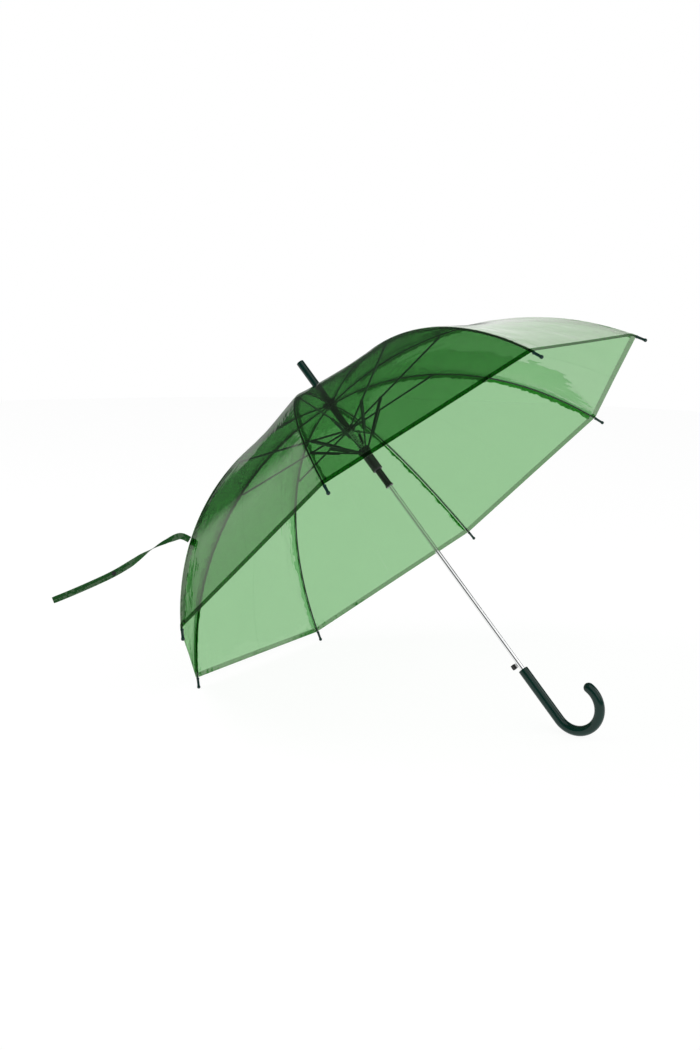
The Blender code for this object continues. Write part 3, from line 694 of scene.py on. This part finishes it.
def seam_mesh(label):
    """The ruffled seam allowance that hangs inside the film beside the rib."""
    rows = 150
    first = 0.06
    last = RIDGE[-1][1] - HEM_WIDTH

    def place(column, row):
        distance = first + (last - first) * row / (rows - 1)
        point = on_rib(distance / RIB_LENGTH, FILM_LIFT)
        half_panel = point.x * math.sin(HALF_STEP)
        wave = noise.noise(Vector((distance * 60, label * 5.7, 0.0)))
        flutter = noise.noise(Vector((distance * 190, label * 2.9, 9.0)))
        down = column / 3
        reach = SEAM_START + down * (0.0030 + 0.0030 * wave + 0.0022 * flutter)
        drop = 0.0001 + down * SEAM_WIDTH * (0.85 + 0.25 * flutter)
        return film_point(point, distance, reach / half_panel, -drop), (0.012 + reach, distance)

    return grid_mesh("canopy_seam", 4, rows, place)


def petal_area():
    """The flat area of a petal, and its width at the hem."""
    area = 0.0
    for (point, distance), (following, next_distance) in zip(RIDGE, RIDGE[1:]):
        area += (point.x + following.x) * math.sin(HALF_STEP) * (next_distance - distance)
    return area, 2 * RIDGE[-1][0].x * math.sin(HALF_STEP)


def add_canopy():
    area, width = petal_area()
    for label in LABELS:
        film = add_sheet(f"canopy_film_{label}", petal_mesh(label), FILM, label, FILM_THICKNESS, 1.0)
        hem = add_sheet(f"canopy_hem_{label}", hem_mesh(), HEM_FILM, label, FILM_THICKNESS * 0.8, 1.0)
        seam = add_sheet(f"canopy_seam_{label}", seam_mesh(label), HEM_FILM, label, 0.0002, 0.0)
        for piece in (film, hem, seam):
            fold_with_rib(piece)
        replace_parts(film, f"canopy_petal_{label}")


# The shaft and what is fixed on it


def shaft_mesh():
    inside = SHAFT_RADIUS - SHAFT_WALL
    profile = [
        (SHAFT_RADIUS, SHAFT_TOP),
        (SHAFT_RADIUS, SHAFT_BOTTOM),
        (inside, SHAFT_BOTTOM),
        (inside, SHAFT_TOP),
    ]
    bm = bmesh.new()
    low = (-2 * SHAFT_RADIUS, -CATCH_WIDTH / 2 - 2 * GAP, BUTTON_HEIGHT - 0.0040)
    high = (-SHAFT_RADIUS / 2, CATCH_WIDTH / 2 + 2 * GAP, BUTTON_HEIGHT + 0.0040)
    add_box(bm, low, high)
    return carve(lathe_mesh("shaft_tube", profile, 64), finish_mesh(bm, "shaft_slot"))


def ferrule_mesh():
    """The long spike end, with two ring grooves above its foot and a rolled nose."""
    edge = 0.0011
    profile = [(0.0, FERRULE_TOP), *fillet((FERRULE_RADIUS - edge, FERRULE_TOP - edge), edge, 90, 0)]
    for ring in (0.0066, 0.0048):
        height = FERRULE_BASE + ring
        profile.append((FERRULE_RADIUS, height + 0.0005))
        profile.append((FERRULE_RADIUS - 0.0004, height))
        profile.append((FERRULE_RADIUS, height - 0.0005))
    profile += [
        (FERRULE_RADIUS, FERRULE_BASE + 0.0003),
        (FERRULE_RADIUS - 0.0003, FERRULE_BASE),
        (BORE_RADIUS, FERRULE_BASE),
        (BORE_RADIUS, SHAFT_TOP + GAP),
        (0.0, SHAFT_TOP + GAP),
    ]
    return lathe_mesh("ferrule_body", profile, 64, closed=False)


def crown_cap_mesh():
    top = CAP_BASE + CROWN_CAP_THICKNESS
    profile = [
        (BORE_RADIUS, CAP_BASE),
        (CROWN_CAP_RADIUS - 0.0003, CAP_BASE),
        (CROWN_CAP_RADIUS, CAP_BASE + 0.0003),
        (CROWN_CAP_RADIUS - 0.0002, CAP_BASE + 0.0007),
        (CROWN_CAP_RADIUS - 0.0015, top - 0.0003),
        (CROWN_CAP_RADIUS - 0.0035, top),
        (BORE_RADIUS, top),
    ]
    return lathe_mesh("crown_washer", profile, 64)


def slots_mesh(height):
    bm = bmesh.new()
    for index in range(RIB_COUNT):
        low = (SLOT_ROOT, -SLOT_HALF_WIDTH, height - HUB_DROP - 0.001)
        high = (HUB_RADIUS + 0.001, SLOT_HALF_WIDTH, height + HUB_RISE + 0.001)
        verts = add_box(bm, low, high)
        angle = math.radians(FIRST_RIB_ANGLE + index * 360 / RIB_COUNT)
        bmesh.ops.rotate(bm, verts=verts, cent=(0, 0, 0), matrix=Matrix.Rotation(angle, 3, "Z"))
    return finish_mesh(bm, "hub_slots")


def hub_mesh(name, height, above=(), below=()):
    """A disc with a groove for its wire, a slot for each arm, and what stands above and below it."""
    soft = 0.0006
    profile = [
        (BORE_RADIUS, above[-1][1] if above else height + HUB_RISE),
        *reversed(above),
        *fillet((HUB_RADIUS - soft, height + HUB_RISE - soft), soft, 90, 0, 3),
        (HUB_RADIUS, height + GROOVE_HALF_HEIGHT),
        (GROOVE_ROOT, height + GROOVE_HALF_HEIGHT),
        (GROOVE_ROOT, height - GROOVE_HALF_HEIGHT),
        (HUB_RADIUS, height - GROOVE_HALF_HEIGHT),
        *fillet((HUB_RADIUS - soft, height - HUB_DROP + soft), soft, 0, -90, 3),
        *below,
        (BORE_RADIUS, below[-1][1] if below else height - HUB_DROP),
    ]
    return carve(lathe_mesh(name, profile, 64), slots_mesh(height))


def wire_mesh(name, height):
    points = fillet((PIVOT_RADIUS, height), WIRE_RADIUS, 0, 330, 11)
    return lathe_mesh(name, points, 64)


def upper_runner_mesh():
    sleeve_radius = 0.0060
    top = NOTCH_HEIGHT - HUB_DROP - 3 * GAP
    above = [
        (sleeve_radius, UPPER_RUNNER_HEIGHT + HUB_RISE),
        (sleeve_radius, top - 0.0005),
        (sleeve_radius - 0.0005, top),
    ]
    return hub_mesh("upper_runner_body", UPPER_RUNNER_HEIGHT, above=above)


def lower_runner_mesh():
    """The hub with its finger collar, the narrow sleeve below it and the flange that the catch holds."""
    collar, sleeve, flange = 0.0093, 0.0062, 0.0073
    neck = LOWER_RUNNER_HEIGHT - HUB_DROP - 0.0020
    shoulder = 0.113
    below = [
        (collar + 0.0004, neck + 0.0018),
        (collar, neck),
        (collar, shoulder + 0.0100),
        (collar - 0.0003, shoulder + 0.0096),
        (collar - 0.0003, shoulder + 0.0088),
        (collar, shoulder + 0.0084),
        (collar, shoulder + 0.0016),
        (collar - 0.0006, shoulder + 0.0005),
        (collar - 0.0016, shoulder),
        (sleeve, shoulder),
        (sleeve, 0.0825),
        (flange - 0.0003, 0.0806),
        (flange, 0.0800),
        (flange, 0.0776),
        (flange - 0.0006, 0.0770),
    ]
    return hub_mesh("lower_runner_body", LOWER_RUNNER_HEIGHT, below=below)


def spring_mesh():
    """The coil between the runners."""
    low = LOWER_RUNNER_HEIGHT + HUB_RISE + GAP + SPRING_WIRE_RADIUS
    high = UPPER_RUNNER_HEIGHT - HUB_DROP - GAP - SPRING_WIRE_RADIUS
    curve = bpy.data.curves.new("main_spring_coil", "CURVE")
    curve.dimensions = "3D"
    curve.bevel_depth = SPRING_WIRE_RADIUS
    curve.bevel_resolution = 3
    curve.use_fill_caps = True
    count = SPRING_TURNS * 28 + 1
    spline = curve.splines.new("POLY")
    spline.points.add(count - 1)
    for index, point in enumerate(spline.points):
        share = index / (count - 1)
        angle = math.tau * SPRING_TURNS * share
        height = low + (high - low) * share
        point.co = (SPRING_COIL_RADIUS * math.cos(angle), SPRING_COIL_RADIUS * math.sin(angle), height, 1.0)
    holder = bpy.data.objects.new("spring_curve", curve)
    bpy.context.scene.collection.objects.link(holder)
    bpy.context.view_layer.update()
    graph = bpy.context.evaluated_depsgraph_get()
    mesh = bpy.data.meshes.new_from_object(holder.evaluated_get(graph))
    bpy.data.objects.remove(holder)
    bm = bmesh.new()
    bm.from_mesh(mesh)
    return finish_mesh(bm, "main_spring_coil")


def handle_mesh():
    """The grip and its hook, one smooth bar with a rolled top edge and a round end."""
    path = []
    radii = []
    edge = 0.0014
    for radius, height in fillet((GRIP_RADIUS - edge, GRIP_TOP - edge), edge, 90, 0, 5):
        path.append(Vector((0, 0, height)))
        radii.append(radius)
    for step in range(1, 9):
        path.append(Vector((0, 0, GRIP_TOP - edge + (HOOK_START - GRIP_TOP + edge) * step / 8)))
        radii.append(GRIP_RADIUS)
    centre = Vector((HOOK_RADIUS, 0, HOOK_START))
    steps = 56
    for step in range(1, steps + 1):
        turn = math.radians(HOOK_TURN) * step / steps
        path.append(centre + HOOK_RADIUS * Vector((-math.cos(turn), 0, -math.sin(turn))))
        radii.append(GRIP_RADIUS)
    turn = math.radians(HOOK_TURN)
    along = Vector((math.sin(turn), 0, -math.cos(turn)))
    end = path[-1].copy()
    for step in range(1, 9):
        angle = math.radians(86 * step / 8)
        path.append(end + along * GRIP_RADIUS * math.sin(angle))
        radii.append(GRIP_RADIUS * math.cos(angle))
    bar = sweep_mesh("handle_bar", path, radii, 48)
    above = GRIP_TOP + 0.002
    profile = [(0, above), (BORE_RADIUS, above), (BORE_RADIUS, GRIP_BORE_BOTTOM), (0, GRIP_BORE_BOTTOM)]
    return carve(bar, lathe_mesh("handle_bore", profile, 48, closed=False))


def add_shaft_pieces():
    pieces = [
        ("shaft_tube", shaft_mesh(), CHROME, "shaft", "shaft", "chrome_steel"),
        ("ferrule_body", ferrule_mesh(), GREEN, "shaft", "ferrule", "bottle_green_plastic"),
        ("crown_washer", crown_cap_mesh(), GREEN, "shaft", "crown_cap", "bottle_green_plastic"),
        ("handle_hook", handle_mesh(), GREEN, "shaft", "handle", "bottle_green_plastic"),
        ("notch_hub", hub_mesh("notch_hub", NOTCH_HEIGHT), BLACK, "shaft", "top_notch", "black_plastic"),
        ("notch_ring", wire_mesh("notch_ring", NOTCH_HEIGHT), SPRING, "shaft", "notch_wire", "spring_steel"),
        ("upper_runner_body", upper_runner_mesh(), BLACK, "upper_runner", "upper_runner", "black_plastic"),
        (
            "upper_runner_ring",
            wire_mesh("upper_runner_ring", UPPER_RUNNER_HEIGHT),
            SPRING,
            "upper_runner",
            "upper_runner_wire",
            "spring_steel",
        ),
        ("lower_runner_body", lower_runner_mesh(), BLACK, "lower_runner", "lower_runner", "black_plastic"),
        (
            "lower_runner_ring",
            wire_mesh("lower_runner_ring", LOWER_RUNNER_HEIGHT),
            SPRING,
            "lower_runner",
            "lower_runner_wire",
            "spring_steel",
        ),
    ]
    for name, mesh, material, body, node, slot in pieces:
        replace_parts(add_piece(name, mesh, material, body), node)
    spring = add_piece("main_spring_coil", spring_mesh(), SPRING, "upper_runner")
    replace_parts(spring, "main_spring")
    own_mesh(spring)


# The arms of the frame


def rod_mesh():
    """The bowed rod, tapering a little towards its tip."""
    first = 0.0070 / RIB_LENGTH
    steps = 60
    path = []
    radii = []
    for step in range(steps + 1):
        share = first + (RIB_END_SHARE - first) * step / steps
        path.append(in_plane(on_rib(share)))
        radii.append(RIB_RADIUS * (1 - 0.12 * share))
    return sweep_mesh("rib_rod", path, radii, 14)


def round_edges(bm, verts):
    """Rolls the edges of the box with these corners."""
    edges = list({edge for vert in verts for edge in vert.link_edges})
    bmesh.ops.bevel(
        bm,
        geom=edges,
        offset=0.0003,
        segments=2,
        profile=0.5,
        affect="EDGES",
        material=-1,
        clamp_overlap=True,
    )


def clip_mesh():
    """The pressed steel eye at the notch and the riveted clip that the stretcher hangs on."""
    bm = bmesh.new()
    first = along_rib(0.0)
    eye = add_box(bm, (-0.0014, -0.0009, -0.0012), (0.0105, 0.0009, 0.0012))
    round_edges(bm, eye)
    turn = Matrix.Translation(in_plane(on_rib(0.0))) @ Matrix.Rotation(math.atan2(-first.y, first.x), 4, "Y")
    bmesh.ops.transform(bm, matrix=turn, verts=bm.verts[:])
    here = along_rib(STRETCHER_SHARE)
    lean = Matrix.Rotation(math.atan2(-here.y, here.x), 4, "Y")
    clip_place = Matrix.Translation(in_plane(BRACKET_PIVOT)) @ lean
    before = set(bm.verts)
    tab = add_box(bm, (-0.0016, -0.0009, -0.0014), (0.0016, 0.0009, BRACKET_DROP - 0.0010))
    round_edges(bm, tab)
    sleeve = Matrix.Translation((0, 0, BRACKET_DROP)) @ Matrix.Rotation(math.pi / 2, 4, "Y")
    bmesh.ops.create_cone(
        bm, cap_ends=True, segments=20, radius1=0.00195, radius2=0.00195, depth=0.0095, matrix=sleeve
    )
    for side in (-1, 1):
        head = Matrix.Translation((0, side * (FORK_OUTSIDE + GAP + 0.00025), 0)) @ Matrix.Rotation(
            -side * math.pi / 2, 4, "X"
        )
        bmesh.ops.create_cone(
            bm, cap_ends=True, segments=18, radius1=0.0014, radius2=0.0009, depth=0.0005, matrix=head
        )
    pin = Matrix.Rotation(math.pi / 2, 4, "X")
    length = 2 * FORK_OUTSIDE + 0.0008
    bmesh.ops.create_cone(
        bm, cap_ends=True, segments=14, radius1=0.0007, radius2=0.0007, depth=length, matrix=pin
    )
    made = [vert for vert in bm.verts if vert not in before]
    bmesh.ops.transform(bm, matrix=clip_place, verts=made)
    return finish_mesh(bm, "rib_clip")


def tip_mesh():
    """The cap on the rib's end, along +Z from its open end: a flared skirt, a slim body and a ball nose."""
    ball = TIP_RADIUS
    profile = [(0.0, TIP_BORE_DEPTH), (TIP_BORE_RADIUS, TIP_BORE_DEPTH), (TIP_BORE_RADIUS, 0.0)]
    profile += [(TIP_RADIUS - 0.0007, 0.0), (TIP_RADIUS - 0.0003, 0.0004), (TIP_RADIUS - 0.0003, 0.0016)]
    profile += [(TIP_RADIUS - 0.0008, 0.0026), (TIP_RADIUS - 0.0009, TIP_LENGTH - 2.2 * ball)]
    profile += fillet((0.0, TIP_LENGTH - ball), ball, -38, 88, 12)
    profile.append((0.0, TIP_LENGTH))
    return lathe_mesh("rib_tip", profile, 36, closed=False)


def add_arms():
    tip_along = along_rib(1 - TIP_LENGTH / RIB_LENGTH / 2)
    tip_turn = Matrix.Rotation(math.atan2(tip_along.x, tip_along.y), 4, "Y")
    tip_place = Matrix.Translation(in_plane(on_rib(TIP_SHARE))) @ tip_turn
    for label in LABELS:
        place = rib_place(label)
        body = f"rib_{label}"
        rod = add_piece(f"rib_rod_{label}", rod_mesh(), ROD, body, place)
        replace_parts(rod, f"rib_{label}")
        clip = add_piece(f"rib_clip_{label}", clip_mesh(), ENAMEL, body, place)
        tip = add_piece(f"tip_cap_{label}", tip_mesh(), GREEN, body, place @ tip_place)
        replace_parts(tip, f"rib_tip_{label}")


# The tie strap


def strap_shape(distance):
    """The strap's bend and twist, in radians, this far along it."""
    for (start, bend, twist), (end, next_bend, next_twist) in zip(STRAP_SHAPE, STRAP_SHAPE[1:]):
        if distance <= end + 1e-9:
            share = (distance - start) / (end - start)
            share = share * share * (3 - 2 * share) * 0.5 + share * 0.5
            bend += (next_bend - bend) * share
            twist += (next_twist - twist) * share
            return math.radians(bend), math.radians(twist)
    return math.radians(STRAP_SHAPE[-1][1]), math.radians(STRAP_SHAPE[-1][2])


def strap_place():
    """The strap's own frame in its rib's plane: X straight out of the film, Z against the strap's fall."""
    along = along_rib(STRAP_PLACE)
    outward, down, side = Vector((-along.y, 0, along.x)), in_plane(along), Vector((0, 1, 0))
    slant = math.radians(STRAP_SLANT)
    fall = down * math.cos(slant) - side * math.sin(slant)
    across = side * math.cos(slant) + down * math.sin(slant)
    place = Matrix((outward, across, -fall)).transposed().to_4x4()
    place.translation = in_plane(on_rib(STRAP_PLACE, FILM_LIFT + FILM_THICKNESS + 4 * GAP))
    return place


def strap_rows(count):
    """Each row's middle point and the direction of the strap's width, in the strap's own frame."""
    point = Vector((0, 0, 0))
    step = STRAP_LENGTH / count
    rows = []
    for index in range(count + 1):
        bend, twist = strap_shape(index * step)
        edge = Vector((-math.sin(bend), 0, -math.cos(bend)))
        rows.append((point.copy(), edge * math.cos(twist) + Vector((0, 1, 0)) * math.sin(twist)))
        point += Vector((math.cos(bend), 0, -math.sin(bend))) * step
    return rows


def strap_mesh():
    """A flat strip of doubled film that stands out from the canopy, drops and turns half over."""
    count = 130
    rows = strap_rows(count)

    def place(column, row):
        point, edge = rows[row]
        across = column / 8 * 2 - 1
        corner = 1.0 if row < count - 1 else 0.96
        side = across * corner * STRAP_WIDTH / 2
        return point + edge * side, (across * 0.004, STRAP_LENGTH * row / count)

    return grid_mesh("tie_strap_film", 9, count + 1, place)


def stud_mesh():
    """The press stud: a disc with a rolled rim and a dished middle."""
    half = STUD_HEIGHT / 2
    profile = [(0.0, half - 0.0004), (STUD_RADIUS * 0.5, half - 0.0004), (STUD_RADIUS * 0.62, half)]
    profile += fillet((STUD_RADIUS - 0.0004, half - 0.0004), 0.0004, 90, 0, 4)
    profile += [(STUD_RADIUS, -half), (0.0, -half)]
    mesh = lathe_mesh("strap_press_stud", profile, 40, closed=False)
    mesh.transform(Matrix.Rotation(math.pi / 2, 4, "X"))
    return mesh


def add_strap():
    place = rib_place(STRAP_RIB) @ strap_place()
    body = f"rib_{STRAP_RIB}"
    strap = add_piece("tie_strap_film", strap_mesh(), STRAP_FILM, body, place)
    skin = strap.modifiers.new("thickness", "SOLIDIFY")
    skin.thickness = STRAP_THICKNESS
    skin.offset = 0.0
    apply_modifiers(strap).data.set_sharp_from_angle(angle=math.radians(35))
    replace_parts(strap, "tie_strap")
    point, _ = strap_rows(100)[round(100 * STUD_PLACE / STRAP_LENGTH)]
    clear = STRAP_THICKNESS / 2 + GAP + STUD_HEIGHT / 2
    seat = place @ Matrix.Translation(point + Vector((0, clear, 0)))
    stud = add_piece("strap_press_stud", stud_mesh(), BLACK, body, seat)
    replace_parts(stud, "strap_stud")


def paint_kept_nodes():
    """Finishes for the nodes that are shown as they are."""
    paints = {"stretcher": ENAMEL, "strut": ENAMEL, "push_button": BLACK, "catch_spring": SPRING}
    for name, node in frame["nodes"].items():
        for start, material in paints.items():
            if name.startswith(start):
                node.data.materials.clear()
                node.data.materials.append(material)


# The studio


def add_floor():
    bm = bmesh.new()
    bmesh.ops.create_circle(bm, cap_ends=True, segments=96, radius=4.2)
    mesh = bpy.data.meshes.new("studio_floor")
    bm.to_mesh(mesh)
    bm.free()
    mesh.materials.append(floor_paint())
    floor = bpy.data.objects.new("studio_floor", mesh)
    bpy.context.scene.collection.objects.link(floor)


def add_world():
    """White all round to look at; what shines sees a dark room with a few bright screens."""
    world = bpy.data.worlds.new("studio")
    bpy.context.scene.world = world
    shop = PaintShop(world)
    direction = shop.node("ShaderNodeTexCoord").outputs["Generated"]
    split = shop.node("ShaderNodeSeparateXYZ", None, {0: direction})
    x, y, z = (Number(shop, socket) for socket in split.outputs)

    def screen(towards, edge, sharpness):
        """1 inside a round screen that lies that way, falling to 0 at its edge."""
        along = towards[0] * x + towards[1] * y + towards[2] * z
        return shop.clamped((along - edge) * sharpness)

    backdrop = screen((-0.40, 0.89, 0.22), 0.962, 60)
    ceiling = screen((0.60, -0.20, 0.77), 0.80, 20)
    left_wall = screen((-1.0, 0.0, 0.0), 0.935, 30) * shop.clamped((0.45 - z) * 10)
    sweep = shop.clamped((0.08 - z) * 20) * shop.clamped(x * 8 + 1)
    lit = shop.clamped(backdrop + 0.5 * left_wall + ceiling + sweep + 0.25 * (z < 0.03))
    studio = shop.mix_colour(lit, (0.05, 0.06, 0.055), (1.10, 1.10, 1.10))
    seen = shop.node("ShaderNodeLightPath").outputs["Is Camera Ray"]
    colour = shop.mix_colour(seen, studio, (1.0, 1.0, 1.0))
    shop.surface(shop.node("ShaderNodeBackground", None, {"Color": colour, "Strength": 1.0}).outputs[0])


def add_area_light(name, place, target, size, power, mirrored=True):
    light = bpy.data.lights.new(name, "AREA")
    light.shape = "RECTANGLE"
    light.size, light.size_y = size
    light.energy = power
    lamp = bpy.data.objects.new(name, light)
    bpy.context.scene.collection.objects.link(lamp)
    lamp.location = place
    lamp.visible_glossy = mirrored
    lamp.rotation_euler = (Vector(target) - Vector(place)).to_track_quat("-Z", "Y").to_euler()


def add_camera():
    forward = CAMERA_FORWARD.normalized()
    level = forward.cross(Vector((0, 0, 1))).normalized()
    above = level.cross(forward)
    tilt = math.radians(CAMERA_TILT)
    right = level * math.cos(tilt) + above * math.sin(tilt)
    axes = Matrix((right, right.cross(forward), -forward)).transposed().to_4x4()
    data = bpy.data.cameras.new("camera")
    data.lens = CAMERA_LENS
    data.clip_end = 50
    camera = bpy.data.objects.new("camera", data)
    bpy.context.scene.collection.objects.link(camera)
    camera.matrix_world = Matrix.Translation(CAMERA_PLACE) @ axes
    bpy.context.scene.camera = camera


add_shaft_pieces()
add_arms()
add_canopy()
add_strap()
paint_kept_nodes()
add_floor()
add_world()
add_area_light("key_light", (-1.6, -1.4, 2.6), (0.0, 0.0, 0.3), (2.4, 2.0), 34, mirrored=False)
add_area_light("rim_light", (2.4, 1.8, 1.6), (0.1, 0.0, 0.2), (1.2, 2.2), 18)
add_camera()
bpy.context.scene.view_settings.view_transform = "Standard"
